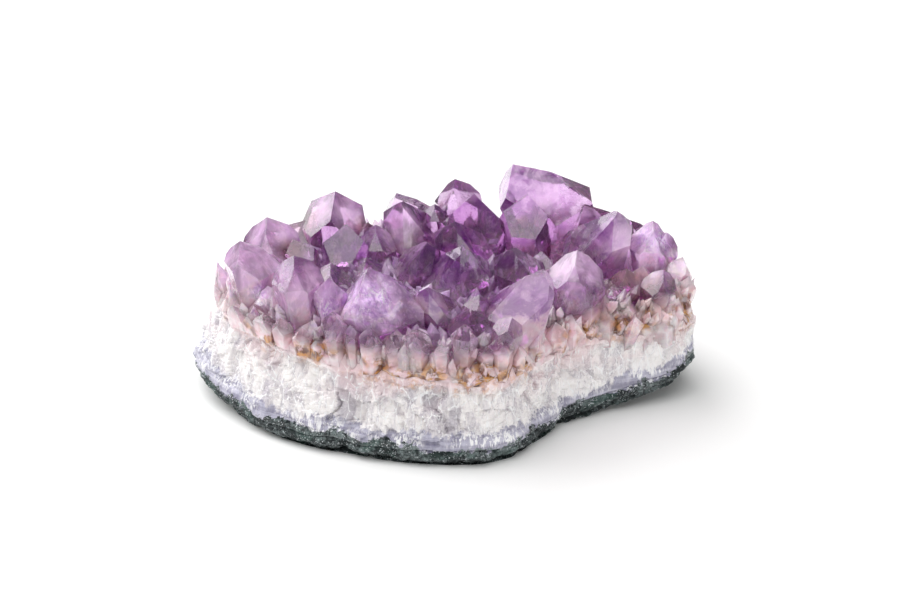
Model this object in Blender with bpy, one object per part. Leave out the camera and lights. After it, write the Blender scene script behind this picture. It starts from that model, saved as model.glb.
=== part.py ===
"""Amethyst cluster: a slab broken from a geode wall, about 118 mm wide.

From the bottom up it has three pieces, each grown on the one below:
  basalt_rind        the dark, lumpy crust of host rock, with a flat patch it rests on
  quartz_band        agate and milky quartz, broken through in upright columns
  amethyst_crystals  the purple points, grown together from one root layer

Frame: +Z up, the front of the slab towards -Y, origin at the middle of the base.
"""

import itertools
import math
import random
from typing import NamedTuple

import bmesh
import bpy
import numpy as np
from mathutils import Vector, noise

MM = 0.001

# Driving dimensions, in millimetres
GAP = 0.3                # left between one piece and the next
COLUMNS = 96            # upright strips round the broken side
CENTRE = (0.0, -5.0)     # the plan's middle, from which its edge is in plain sight all round
RIND_THICKNESS = 4.0
QUARTZ_TOP = 20.0        # height of the band's top at the middle
QUARTZ_TOP_FALL = 0.03   # how much lower it gets for each millimetre to the right
ROOT_LAYER = 6.0         # thickness of the layer that all the crystals grow from
FLAT_PATCH_SHARE = 0.5   # the flat patch of the base, as a share of the plan's radius

# The slab's edge seen from above, at its widest, from the left end round the front
EDGE = [
    (-60, -3), (-57, -13), (-49.5, -23), (-37, -34), (-22, -40.5), (-6, -45), (8, -45),
    (14, -42), (18.5, -36), (25.5, -26), (36, -20), (46, -17), (53, -14), (56.5, -9),
    (56.8, 0), (53, 8), (46, 16), (34, 24), (22, 30), (8, 33), (-8, 32), (-22, 29),
    (-34, 24), (-46, 17), (-56, 8),
]

# Quartz geometry, in degrees and as shares of a crystal's radius
POINT_SLOPE = 51.8       # between a point's faces and the crystal's cross-section
TAPER = 5.0              # a crowded crystal narrows this much towards its root
SIDE_SPREAD = 0.16       # how unequal the six sides are
SMALL_SPREAD = 0.2       # how unequal the three small faces of a point are

# The crystals' root layer, in millimetres
ROOT_DEPTH = 3.0         # how far it is sunk below the quartz's top before it is cut
ROOT_SETBACK = 4.0       # how far in from the wall its top is
ROOT_LUMPS = 1.5

# Crystals that the list doesn't name
FILL_SPACING = 5.0
FILL_RADII = (3.0, 5.0)
FILL_HEIGHTS = (10.0, 14.0)   # above the quartz
FILL_OVERLAP = 0.78      # nearest distance of two crystals, as a share of the sum of their radii
FILL_MARGIN = 5.0        # kept free along the wall
SIGHT_HEIGHT = 38.0      # tips stay below a plane this high at the middle
SIGHT_FALL = 0.43        # and this much lower for each millimetre back
BACK_EDGE_STEP = 6       # degrees between the small points of the back edge


class Crystal(NamedTuple):
    """One crystal. Compass angles: 0 is right, 90 back, 180 left, 270 front."""

    tip: tuple           # x, y and z in millimetres
    radius: float        # from its middle to its sides
    lean: float = 0      # degrees from upright
    toward: float = 0    # compass angle that it leans towards
    spin: float = 90     # compass angle of one of the point's three large faces
    small: float = 0.3   # how far the three small faces are set back, as a share of the radius
    aside: float = 0     # how far its middle is from under the tip, as a share of the radius
    side: float = 0      # compass angle of the middle, seen from the tip


# The crystals that show from the front, from the left end to the right
FRONT_CRYSTALS = [
    Crystal((-47.4, -13, 40.3), 6.0, lean=8, toward=190, spin=82, small=0.35, aside=0.25),
    Crystal((-42.5, 2, 39.8), 7.0, lean=6, toward=180, spin=85),
    Crystal((-36.4, -2, 36.0), 3.6, lean=14, toward=200, spin=290, small=0.6, aside=0.2),
    Crystal((-34.5, -24, 41.6), 5.2, lean=6, toward=200),
    Crystal((-41.0, -18, 31.5), 3.6, lean=8, toward=220, spin=40),
    Crystal((-34.0, 14, 34.2), 5.5, lean=16, toward=0, spin=0, small=0.5, aside=0.5, side=180),
    Crystal((-27.2, 14, 41.5), 7.4, lean=3, toward=0, spin=85, small=0.6),
    Crystal((-26.6, -28, 38.0), 3.2, lean=4, toward=250, spin=30, small=0.4),
    Crystal((-24.1, 2, 38.1), 4.6, lean=6, toward=90, spin=265, small=0.7, aside=0.35, side=240),
    Crystal((-19.6, 12, 34.3), 3.2, lean=4, toward=90, spin=60),
    Crystal((-17.8, -29, 41.0), 9.0, lean=8, toward=190, spin=60, small=0.25, aside=0.25),
    Crystal((-17.4, 6, 36.2), 4.2, lean=3, toward=90, small=0.25),
    Crystal((-12.9, 20, 38.6), 6.0, lean=14, toward=180, spin=60, small=0.4, aside=0.4),
    Crystal((-11.7, 9, 40.7), 8.2, lean=20, toward=265, spin=0, small=0.08, aside=0.5),
    Crystal((-5.3, -8, 37.6), 6.4, lean=22, toward=265, spin=165, small=0.15, aside=0.7, side=180),
    Crystal((-5.2, -30, 36.4), 5.4, lean=20, toward=270, spin=0, small=0.1, aside=0.6),
    Crystal((-3.7, 15, 37.8), 3.6, lean=4, toward=90, small=0.2),
    Crystal((0.5, 0, 39.2), 6.4, lean=22, toward=265, spin=0, small=0.15, aside=0.5),
    Crystal((1.2, 24, 40.6), 5.6, lean=8, toward=180, spin=75),
    Crystal((3.1, -13, 38.7), 8.4, lean=20, toward=275, spin=180, small=0.08, aside=0.3, side=180),
    Crystal((5.7, 12, 41.6), 7.6, lean=12, toward=275, spin=270, small=0.45),
    Crystal((6.4, -29, 34.2), 3.2, lean=4, toward=270),
    Crystal((9.5, -20, 31.0), 3.4, lean=6, toward=270, spin=50),
    Crystal((13.3, -39.5, 33.8), 3.2, lean=12, toward=350, spin=200, small=0.5),
    Crystal((14.2, -10, 37.2), 6.2, lean=20, toward=270, spin=0, small=0.1, aside=0.4),
    Crystal((15.0, 20, 46.0), 10.4, lean=20, toward=190, spin=60, small=0.35, aside=0.38),
    Crystal((18.3, 12, 41.6), 6.0, lean=2, toward=0, spin=262, small=0.5, aside=0.15),
    Crystal((20.2, -30, 40.9), 7.4, lean=8, toward=340, spin=0, small=0.2, aside=0.62, side=180),
    Crystal((28.4, -18, 40.2), 6.0, lean=3, toward=270, spin=80, small=0.25),
    Crystal((32.0, 14, 38.2), 6.8, lean=14, toward=180, spin=60, small=0.4, aside=0.3),
    Crystal((38.5, -2, 42.9), 8.2, lean=18, toward=285, spin=180, small=0.08, aside=0.5, side=180),
    Crystal((36.0, -12, 30.5), 3.4, lean=6, toward=300, spin=30),
    Crystal((40.5, -9, 31.5), 3.6, lean=6, toward=300, spin=70),
    Crystal((44.5, -6, 31.0), 3.2, lean=8, toward=300, spin=10),
    Crystal((41.3, 9, 36.6), 5.5, lean=12, toward=180, spin=60, small=0.35),
    Crystal((47.2, 3, 38.5), 4.9, lean=4, toward=0, small=0.2),
    Crystal((48.7, -11, 32.3), 3.6, lean=8, toward=330),
    Crystal((50.4, 2, 36.0), 3.6, lean=10, toward=0, spin=60),
    Crystal((54.0, -2, 31.5), 3.2, lean=12, toward=350, spin=0),
    Crystal((55.2, -5, 27.8), 2.6, lean=12, toward=340, spin=30),
]

# Small points along the front edge: the tip's x, y and z, and the radius
EDGE_CRYSTALS = [
    (-49, -19, 27, 2.6), (-45, -23, 27, 2.4), (-41.8, -25.6, 28, 2.6), (-37.6, -29.2, 28.7, 2.4),
    (-32.5, -32.3, 28, 2.2), (-29, -33, 26, 2.0), (-25.6, -35.7, 33.3, 2.6), (-21.7, -37.6, 31, 1.8),
    (-17.3, -39, 31.2, 2.8), (-12.5, -40.5, 30.3, 2.4), (-7.1, -42.2, 32.3, 2.6),
    (-2.1, -42.5, 29, 2.0), (3.2, -42.5, 33.7, 2.6), (8, -42, 28, 1.8), (11.2, -40.9, 30, 2.6),
    (14.8, -38.5, 26.7, 2.0), (18.7, -33.2, 25.5, 2.2), (23.6, -26.2, 26.3, 2.8),
    (27.2, -22.5, 26.5, 3.2), (31.2, -20.3, 25, 2.6), (34.6, -18.3, 27.6, 1.6),
    (37.6, -17, 26.7, 2.2), (40.4, -16.2, 27.1, 2.0), (43.7, -15.2, 25.9, 1.8),
    (46.4, -14.5, 25.8, 2.2), (49.5, -13.2, 25, 2.4), (52.2, -11.5, 25.1, 2.2), (54, -8, 24.5, 2.2),
]


def edge_radius(angles):
    """Distance from the plan's centre to its edge, drawn straight in angle between the edge's points."""
    x, y = (np.array(EDGE, float) - CENTRE).T
    order = np.argsort(np.arctan2(y, x))
    return np.interp(angles, np.arctan2(y, x)[order], np.hypot(x, y)[order], period=2 * math.pi)


def column_angles():
    """The angles of the columns, spaced evenly along the edge and not by angle."""
    fine = np.linspace(-math.pi, math.pi, 2001)
    along = edge_radius(fine)
    steps = np.hypot(np.diff(along * np.cos(fine)), np.diff(along * np.sin(fine)))
    travelled = np.concatenate([[0], np.cumsum(steps)])
    return np.interp(np.arange(COLUMNS) / COLUMNS * travelled[-1], travelled, fine)


ANGLES = column_angles()
RADII = edge_radius(ANGLES)


def rough(x, y, z, size, seed=0.0):
    """Smooth noise from about -1 to 1, with bumps of the given size in millimetres."""
    return noise.noise(Vector((x / size + seed, y / size - seed, z / size + 2 * seed)))


def base_height(x, y):
    """The underside: flat in the middle, curving up towards the ends and the back like a geode's wall."""
    right = 0.0035 * max(0.0, x - 15) ** 2
    left = 0.0060 * max(0.0, -35 - x) ** 2
    back = 0.0080 * max(0.0, y - 15) ** 2
    return right + left + back


def rind_top(x, y):
    return base_height(x, y) + RIND_THICKNESS + 1.3 * rough(x, y, 0, 9, 3)


def quartz_top(x, y):
    return QUARTZ_TOP - QUARTZ_TOP_FALL * x + 1.2 * rough(x, y, 0, 11, 5) + 0.8 * rough(x, y, 0, 4, 8)


def ring(share, inset, height):
    """One point for each column, at a share of the edge's radius less an inset. height(x, y) sets z."""
    along = RADII * share - inset
    x = CENTRE[0] + along * np.cos(ANGLES)
    y = CENTRE[1] + along * np.sin(ANGLES)
    return [Vector((a, b, height(a, b))) for a, b in zip(x, y)]


def column_relief(seed, depth):
    """How far each column stands out of the side: broken quartz splits in upright columns."""
    draw = random.Random(seed)
    return np.array([draw.uniform(-depth, depth) for _ in range(COLUMNS)])


def closed_stack(name, rings):
    """A solid from rings of points, one above another, with a flat lid in the first and in the last ring."""
    shape = bmesh.new()
    rows = [[shape.verts.new(point * MM) for point in points] for points in rings]
    for low, high in itertools.pairwise(rows):
        for i in range(COLUMNS):
            j = (i + 1) % COLUMNS
            shape.faces.new((low[i], low[j], high[j], high[i]))
    shape.faces.new(reversed(rows[0]))
    shape.faces.new(rows[-1])
    return finished(name, shape)


def finished(name, shape):
    """Triangulates a bmesh, points its faces outwards and makes it an object in the scene."""
    bmesh.ops.triangulate(shape, faces=shape.faces)
    bmesh.ops.recalc_face_normals(shape, faces=shape.faces)
    mesh = bpy.data.meshes.new(name)
    shape.to_mesh(mesh)
    shape.free()
    obj = bpy.data.objects.new(name, mesh)
    bpy.context.scene.collection.objects.link(obj)
    return obj


def wall_lean(angles):
    """How far the band's top is in from the slab's edge: most at the left end."""
    return np.interp(np.cos(angles), [-1.0, -0.8, 0.0, 1.0], [5.5, 4.0, 1.2, 0.4])


# Where one piece meets the next, the rings on both sides share their plan, so nothing overlaps.
RIND_PLANS = [(1.0, 0.0), (0.62, 0.0)]
WALL_LEAN = wall_lean(ANGLES)
QUARTZ_PLANS = [(1.0, WALL_LEAN), (0.62, 0.0)]


def raised(height, by):
    return lambda x, y: height(x, y) + by


def basalt_rind():
    """The crust: rounded under at its edge, with lumps, over a flat patch at z = 0."""
    lumps = column_relief(seed=4, depth=0.7)

    def under_edge(x, y):
        return base_height(x, y) + 0.9 + 0.7 * rough(x, y, 0, 5, 1)

    def underside(x, y):
        return max(0.0, base_height(x, y) + 0.5 * rough(x, y, 0, 6, 2))

    def belly(x, y):
        return base_height(x, y) + 0.55 * RIND_THICKNESS

    rings = [
        ring(FLAT_PATCH_SHARE, 0.0, lambda x, y: 0.0),
        ring(0.80, 0.0, underside),
        ring(1.0, 2.6 + lumps, under_edge),
        ring(1.0, -0.5 + lumps, belly),
        *[ring(share, inset, rind_top) for share, inset in RIND_PLANS],
    ]
    return closed_stack("basalt_rind", rings)


def quartz_band():
    """Agate and milky quartz. Its side leans in, most at the left end, and is broken in columns."""
    columns = column_relief(seed=7, depth=0.9)

    def at_level(share):
        def height(x, y):
            low, high = rind_top(x, y) + GAP, quartz_top(x, y)
            return low + share * (high - low)

        shift = np.array([0.5 * rough(a * 9, share * 3, 0, 1, 6) for a in ANGLES])
        return ring(1.0, WALL_LEAN * share - 0.3 + columns * math.sin(math.pi * share) + shift, height)

    rings = [
        *[ring(share, inset, raised(rind_top, GAP)) for share, inset in reversed(RIND_PLANS)],
        *[at_level(share) for share in (0.22, 0.45, 0.68, 0.86)],
        *[ring(share, inset, quartz_top) for share, inset in QUARTZ_PLANS],
    ]
    return closed_stack("quartz_band", rings)


def root_layer():
    """The layer that the crystals grow from, sunk below the quartz's top, where the trim cuts it."""
    def low(x, y):
        return quartz_top(x, y) - ROOT_DEPTH

    def middle(x, y):
        return quartz_top(x, y) + 0.25 * ROOT_LAYER

    def high(x, y):
        return quartz_top(x, y) + ROOT_LAYER + ROOT_LUMPS * rough(x, y, 0, 7, 4)

    bulge = column_relief(seed=11, depth=0.8)
    rings = [
        ring(1.0, WALL_LEAN + 0.4, low),
        ring(1.0, WALL_LEAN + 0.2 + bulge, middle),
        ring(1.0, WALL_LEAN + ROOT_SETBACK, high),
        ring(0.6, 0.0, high),
    ]
    return closed_stack("root_layer", rings)


def trim():
    """Everything below the quartz's top, plus the gap, and everything well outside the slab's edge, where
    the crystals broke off with the rest of the geode. Its inner side opens outwards as it rises."""
    outside, ledge, opening, over = 14.0, 1.2, 7.0, 60.0
    rings = [
        ring(1.0, -outside, lambda x, y: -5.0),
        ring(1.0, -outside, lambda x, y: over),
        ring(1.0, WALL_LEAN - opening, lambda x, y: over),
        ring(1.0, WALL_LEAN - ledge, raised(quartz_top, GAP)),
        *[ring(share, inset, raised(quartz_top, GAP)) for share, inset in QUARTZ_PLANS],
    ]
    return closed_stack("trim", rings)


def direction(angle, rise):
    """A unit vector at a compass angle and a rise above level, both in degrees."""
    a, e = math.radians(angle), math.radians(rise)
    return Vector((math.cos(a) * math.cos(e), math.sin(a) * math.cos(e), math.sin(e)))


def corners_of(normals, distances):
    """Corners of the convex body inside all the planes: each meeting of three that no other cuts off."""
    trios = np.array(list(itertools.combinations(range(len(normals)), 3)))
    stacks = normals[trios]
    crossing = np.abs(np.linalg.det(stacks)) > 1e-4
    ends = distances[trios][crossing][..., None]
    points = np.linalg.solve(stacks[crossing], ends)[..., 0]
    inside = (points @ normals.T <= distances + 1e-6).all(axis=1)
    return points[inside]


def add_crystal(shape, crystal, draw):
    """Adds one crystal to a bmesh: six sides that taper to the root and a point of three large and three
    small faces. Its tip is where the row says, and it runs down along its axis into the quartz."""
    up = Vector((0, 0, 1))
    turn = up.rotation_difference(direction(crystal.toward, 90 - crystal.lean))
    slope, taper = math.radians(POINT_SLOPE), math.radians(TAPER)
    radius = crystal.radius
    shoulder = radius * math.tan(slope)
    normals, distances = [], []
    for k in range(6):
        angle = crystal.spin + 60 * k
        outward = direction(angle, 0)
        middle = crystal.aside * math.cos(math.radians(angle - crystal.side))
        size = radius * (draw.uniform(1 - SIDE_SPREAD, 1 + SIDE_SPREAD) + middle)
        normals.append(outward * math.cos(taper) - up * math.sin(taper))
        distances.append(size * math.cos(taper) + shoulder * math.sin(taper))
        set_back = crystal.small * radius * draw.uniform(1 - SMALL_SPREAD, 1 + SMALL_SPREAD) if k % 2 else 0.0
        normals.append(outward * math.sin(slope) + up * math.cos(slope))
        distances.append(set_back * math.sin(slope))
    normals.append(-up)
    distances.append((crystal.tip[2] - QUARTZ_TOP) / math.cos(math.radians(crystal.lean)) + 4.0)
    points = corners_of(np.array(normals), np.array(distances))
    tip = Vector(crystal.tip)
    verts = [shape.verts.new((turn @ Vector(point) + tip) * MM) for point in points]
    hull = bmesh.ops.convex_hull(shape, input=verts)
    spare = {v for v in hull["geom_interior"] + hull["geom_unused"] if isinstance(v, bmesh.types.BMVert)}
    bmesh.ops.delete(shape, geom=list(spare), context="VERTS")


def polar(x, y):
    """Compass angle in degrees and distance from the plan's centre."""
    right, back = x - CENTRE[0], y - CENTRE[1]
    return math.degrees(math.atan2(back, right)), math.hypot(right, back)


def front_edge_crystals(draw):
    """The listed small points, each leaning out a little from the middle of the slab."""
    return [
        Crystal((x, y, z), radius, draw.uniform(0, 9), polar(x, y)[0], draw.uniform(0, 120))
        for x, y, z, radius in EDGE_CRYSTALS
    ]


def back_edge_crystals(draw):
    """A row of small points along the rest of the edge, from the right end round the back to the left."""
    crystals = []
    for angle in range(2, 184, BACK_EDGE_STEP):
        turned = math.radians(angle + draw.uniform(-2, 2))
        reach = float(edge_radius(turned) - wall_lean(turned)) - draw.uniform(2.0, 4.0)
        x, y = CENTRE[0] + reach * math.cos(turned), CENTRE[1] + reach * math.sin(turned)
        z = quartz_top(x, y) + draw.uniform(4.0, 8.0)
        radius = draw.uniform(2.0, 3.2)
        crystals.append(
            Crystal((x, y, z), radius, draw.uniform(0, 10), angle, draw.uniform(0, 120))
        )
    return crystals


def middle_of(crystal):
    """Where the crystal's axis is in plan, half way down to the quartz."""
    half = (crystal.tip[2] - QUARTZ_TOP) / 2 * math.tan(math.radians(crystal.lean))
    shift = crystal.aside * crystal.radius * direction(crystal.side, 0) - half * direction(crystal.toward, 0)
    return crystal.tip[0] + shift.x, crystal.tip[1] + shift.y


def filling_crystals(draw, placed):
    """Crystals where the list leaves the top bare. Towards the back they stay below the sight line."""
    crystals, taken = [], [(middle_of(crystal), crystal.radius) for crystal in placed]
    for row, column in itertools.product(range(17), range(25)):
        x = -60 + FILL_SPACING * (column + 0.5 * (row % 2)) + draw.uniform(-1.5, 1.5)
        y = -46 + FILL_SPACING * row + draw.uniform(-1.5, 1.5)
        angle, reach = polar(x, y)
        turned = math.radians(angle)
        if reach > edge_radius(turned) - wall_lean(turned) - FILL_MARGIN:
            continue
        radius = draw.uniform(*FILL_RADII)
        if any(math.dist((x, y), spot) < FILL_OVERLAP * (radius + size) for spot, size in taken):
            continue
        taken.append(((x, y), radius))
        grown = quartz_top(x, y) + draw.uniform(*FILL_HEIGHTS)
        top = min(grown, SIGHT_HEIGHT - SIGHT_FALL * y + draw.uniform(-3, 0))
        lean = abs(0.2 * reach + draw.uniform(-5, 5))
        crystals.append(
            Crystal((x, y, top), radius, lean, angle, draw.uniform(0, 120), draw.uniform(0.2, 0.5))
        )
    return crystals


def all_crystals():
    """Every crystal in one mesh of overlapping bodies."""
    draw = random.Random(21)
    crystals = FRONT_CRYSTALS + front_edge_crystals(draw) + back_edge_crystals(draw)
    crystals += filling_crystals(draw, FRONT_CRYSTALS)
    shape = bmesh.new()
    for crystal in crystals:
        add_crystal(shape, crystal, draw)
    return finished("crystal_bodies", shape)


def helper(obj):
    obj.hide_render = True
    obj.display_type = "WIRE"
    return obj


def boolean(obj, other, operation):
    step = obj.modifiers.new(operation.lower(), "BOOLEAN")
    step.operation = operation
    step.object = other
    step.solver = "EXACT"
    step.use_self = operation == "UNION"


def largest_shell(shape):
    """The faces of the shell with the most of them. Shells that only share a corner count as two."""
    left, shells = set(shape.faces), []
    while left:
        shell, front = [], [left.pop()]
        while front:
            face = front.pop()
            shell.append(face)
            near = {other for edge in face.edges for other in edge.link_faces} & left
            left -= near
            front.extend(near)
        shells.append(shell)
    return set(max(shells, key=len))


def keep_outer_shell(obj):
    """Replaces the object's mesh with the outer shell of its evaluated form, without the small hollows that
    leaning crystals close off between them, and with one face where a facet came out in several."""
    graph = bpy.context.evaluated_depsgraph_get()
    mesh = bpy.data.meshes.new_from_object(obj.evaluated_get(graph))
    obj.modifiers.clear()
    shape = bmesh.new()
    shape.from_mesh(mesh)
    bmesh.ops.dissolve_limit(
        shape, angle_limit=math.radians(0.5), verts=shape.verts, edges=shape.edges
    )
    bmesh.ops.remove_doubles(shape, verts=shape.verts, dist=0.02 * MM)
    bmesh.ops.triangulate(shape, faces=shape.faces)
    outer = largest_shell(shape)
    bmesh.ops.delete(shape, geom=[face for face in shape.faces if face not in outer], context="FACES")
    shape.to_mesh(mesh)
    shape.free()
    obj.data = mesh


def amethyst_crystals():
    """Root layer and crystals joined in one solid, and cut off along the top of the quartz."""
    obj = root_layer()
    obj.name = "amethyst_crystals"
    boolean(obj, helper(all_crystals()), "UNION")
    boolean(obj, helper(trim()), "DIFFERENCE")
    bpy.context.view_layer.update()
    keep_outer_shell(obj)
    return obj


def finish_material(obj, colour, roughness, transmission=0.0):
    material = bpy.data.materials.new(obj.name)
    material.use_nodes = True
    shader = material.node_tree.nodes["Principled BSDF"]
    shader.inputs["Base Color"].default_value = (*colour, 1.0)
    shader.inputs["Roughness"].default_value = roughness
    shader.inputs["Metallic"].default_value = 0.0
    shader.inputs["Transmission Weight"].default_value = transmission
    obj.data.materials.clear()
    obj.data.materials.append(material)


def centre_on_origin(objects):
    """Moves the meshes so that the box round them has its bottom's middle at the origin."""
    corners = np.array([vert.co for obj in objects for vert in obj.data.vertices])
    low, high = corners.min(axis=0), corners.max(axis=0)
    shift = -Vector(((low[0] + high[0]) / 2, (low[1] + high[1]) / 2, low[2]))
    for obj in objects:
        for vert in obj.data.vertices:
            vert.co += shift


def main():
    for obj in list(bpy.data.objects):
        bpy.data.objects.remove(obj)
    rind = basalt_rind()
    quartz = quartz_band()
    crystals = amethyst_crystals()
    finish_material(rind, (0.055, 0.075, 0.070), roughness=0.85)
    finish_material(quartz, (0.78, 0.76, 0.78), roughness=0.35)
    finish_material(crystals, (0.36, 0.19, 0.50), roughness=0.12, transmission=0.7)
    centre_on_origin([rind, quartz, crystals])


main()
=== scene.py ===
"""Looks of the amethyst cluster.

The crystals are the CAD solid cut into fine facets. The broken quartz wall and the lumpy crust are
surfaces made from formulas of the way round the slab and the height, as the CAD layers are. Small
crystals stand along the wall's top and between the large ones. Lengths in the formulas are in millimetres.
"""

import math

import bmesh
import bpy
import numpy as np
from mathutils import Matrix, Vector, noise
from mathutils.bvhtree import BVHTree


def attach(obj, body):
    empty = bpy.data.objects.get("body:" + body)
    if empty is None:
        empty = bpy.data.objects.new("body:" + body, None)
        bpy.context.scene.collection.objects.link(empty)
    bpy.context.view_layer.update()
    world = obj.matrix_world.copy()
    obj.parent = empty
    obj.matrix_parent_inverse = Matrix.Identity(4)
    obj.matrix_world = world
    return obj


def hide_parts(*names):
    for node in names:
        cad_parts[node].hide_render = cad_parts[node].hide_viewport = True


MM = 0.001
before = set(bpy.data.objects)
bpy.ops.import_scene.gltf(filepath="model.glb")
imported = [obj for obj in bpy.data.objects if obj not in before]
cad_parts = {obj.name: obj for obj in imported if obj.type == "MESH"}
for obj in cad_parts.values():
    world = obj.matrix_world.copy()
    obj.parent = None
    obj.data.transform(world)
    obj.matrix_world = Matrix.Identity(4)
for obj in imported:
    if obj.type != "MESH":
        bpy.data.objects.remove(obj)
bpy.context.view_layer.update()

# The slab in plan, as in the CAD: its edge round a centre, with the CAD's own origin taken off
CENTRE = (0.0, -5.0)
CAD_ORIGIN = (-1.479, -6.217)
EDGE = [
    (-60, -3), (-57, -13), (-49.5, -23), (-37, -34), (-22, -40.5), (-6, -45), (8, -45),
    (14, -42), (18.5, -36), (25.5, -26), (36, -20), (46, -17), (53, -14), (56.5, -9),
    (56.8, 0), (53, 8), (46, 16), (34, 24), (22, 30), (8, 33), (-8, 32), (-22, 29),
    (-34, 24), (-46, 17), (-56, 8),
]
RIND_THICKNESS = 4.0
QUARTZ_TOP = 20.0
QUARTZ_TOP_FALL = 0.03

# Points of the wall's and the crust's nets: round the slab, up the side and over the top or the underside
AROUND = 720
WALL_ROWS, WALL_TOP_ROWS = 100, 32
CRUST_ROWS, UNDERSIDE_ROWS = 44, 70

# The wall's facets and the crust's grains: how deep or high, how many round the slab, how tall, and a seed
FACETS = ((1.2, 44, 7.5, 11), (0.8, 110, 4.2, 21), (0.35, 260, 1.9, 31), (0.12, 560, 1.0, 41))
GRAINS = ((1.0, 52, 6.0, 5), (0.7, 130, 2.4, 7), (0.35, 320, 1.0, 9))

# Places on the cluster, x, y, z and reach: where crystals are cracked through, smoky, pale, vivid or rusty
CRACKED = [
    (-26.6, -28, 30, 7), (-17.8, -30, 31, 11.5), (-6, -34, 24, 5), (47.2, 2, 33, 6.5), (51, 0, 30, 4),
    (-43, -19, 29, 4), (28, -24, 29, 4), (10, -36, 27, 4), (36, -14, 27, 4),
]
SMOKY = [
    (40, -9, 29, 7), (-19.6, 12, 34.3, 4), (-36.4, -2, 33, 5), (36, -12, 28, 5), (-34, 14, 33, 6),
    (33, -18, 25, 8), (44, -13, 25, 7), (-22, -36, 25, 4), (-9, -41, 24, 4), (4, -42, 24, 5),
    (12, -39, 24, 5),
]
PALE = [
    (-42, -14, 32, 18), (-30, -26, 31, 12), (28.4, -18, 36, 9), (45, -6, 33, 11), (47.2, 3, 35, 7),
    (54, -4, 29, 9), (-47.4, -13, 33, 10),
    (-42, 2, 35, 9), (-27, 14, 35, 9), (-11, 5, 36, 8), (-34, -25, 33, 7), (-18, -31, 32, 12),
]
VIVID = [
    (15, 20, 45, 19), (19, -33, 30, 14), (-5, -30, 32, 6), (38.5, -5, 38, 8), (-37, 2, 35, 5),
    (-22, 14, 36, 4),
]
RUST_SPOTS = [
    (-47, -24, 22, 6), (-33, -32, 22, 6), (-28, -34, 23, 6), (-17, -40, 22, 7), (-4, -44, 21, 6),
    (8, -43, 21, 7), (17, -37, 21, 6), (31, -21, 22, 5), (44, -16, 22, 5), (54, -9, 21, 7),
    (-56, -14, 20, 7), (-42, -27, 21, 6), (-24, -35, 23, 6), (-10, -43, 20, 6), (0, -45, 19, 5),
    (4, -44, 21, 5), (13, -42, 21, 5), (25, -25, 21, 6), (38, -18, 21, 6), (50, -13, 21, 5),
    (-50, 14, 21, 7), (-20, 30, 21, 8), (18, 31, 21, 7), (48, 13, 20, 7),
]

# Small crystals: how many, and for the strewn ones how far in they lie and their radii
RIM_COUNT = 170
SMALL_COUNT, SMALL_INWARD, SMALL_RADII = 600, (0.5, 8.0), (0.5, 1.5)
DRUSE_COUNT, DRUSE_INWARD, DRUSE_RADII = 700, (8.0, 44.0), (0.8, 2.0)

# Longest edges after each round of cutting the large crystals' faces
LONGEST_EDGES = (3.2, 1.6, 1.02)

# Colours of the clear crystal, of the milky crystal and of the wall and the crust
COLOURLESS, TINTED = (0.97, 0.92, 0.99), (0.68, 0.40, 0.80)
# The clear crystal's smoky brown, and a dark plum tint that paints shade into it in the creases between
# crystals
TINTED_SMOKE, TINTED_VALLEY_SHADE = (0.72, 0.52, 0.50), (0.34, 0.18, 0.38)
ROSE, CREAM, ROSE_SMOKE = (0.94, 0.62, 0.68), (1.0, 0.84, 0.87), (0.60, 0.36, 0.34)
LILAC, VIOLET, DEEP_VIOLET = (0.97, 0.66, 0.98), (0.52, 0.19, 0.62), (0.19, 0.04, 0.25)
PALE_LILAC, CRACKED_LILAC, SMOKE = (0.97, 0.70, 0.95), (0.80, 0.52, 1.0), (0.36, 0.20, 0.20)
# Dark violet painted as shade in the cracked crystals' veins, and white for real threads and for painted
# highlights along the ridges
CRACK_SHADE_VIOLET, THREAD_AND_HIGHLIGHT_WHITE = (0.34, 0.14, 0.52), (0.98, 0.95, 1.0)
# Painted shade in the creases between crystals, in plum, and real brown dirt in the same creases
VALLEY_SHADE_PLUM, VALLEY_DIRT_BROWN = (0.20, 0.07, 0.20), (0.26, 0.12, 0.08)
CRYSTAL_RUST = ((0.16, 0.05, 0.02), (0.60, 0.28, 0.07))
WALL_RUST = ((0.22, 0.08, 0.02), (0.62, 0.31, 0.08))
WALL_GREY, WALL_WHITE, SUGAR_WHITE = (0.50, 0.46, 0.51), (0.93, 0.89, 0.88), (0.97, 0.95, 0.95)
WALL_PINK, WALL_TOP_PINK, INNER_PINK = (0.80, 0.62, 0.64), (0.90, 0.66, 0.69), (0.50, 0.36, 0.50)
SPLINTER_WHITE, FROST_WHITE = (0.97, 0.97, 0.98), (0.88, 0.88, 0.92)
AGATE_DARK, AGATE_LIGHT = (0.23, 0.22, 0.32), (0.49, 0.48, 0.60)
ROCK_DARK, ROCK_GREY = (0.006, 0.011, 0.013), (0.19, 0.23, 0.23)
ROCK_MOSS, ROCK_SPECK = (0.04, 0.10, 0.08), (0.62, 0.66, 0.68)
FLOOR_WHITE = (0.92, 0.92, 0.915)

# Clear crystal: how far it bends light, then for each kind of crystal what it takes of red, green and blue
# in a metre, the height below which it turns milky, and the share of milkiness all over
AMETHYST_IOR = 1.545
LARGE_CRYSTALS = ((14.0, 42.0, 13.0), 30, 0.03)
RIM_CRYSTALS = ((3.0, 9.0, 6.0), 28, 0.30)
DRUSE_CRYSTALS = ((16.0, 42.0, 15.0), 22, 0.15)

# Camera: it looks down from the front, and its distance is in metres
CAMERA_LENS, SENSOR_WIDTH = 85.0, 36.0
CAMERA_TILT, CAMERA_DISTANCE = 25.0, 0.5
LOOKED_AT_HEIGHT = 19.4

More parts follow.
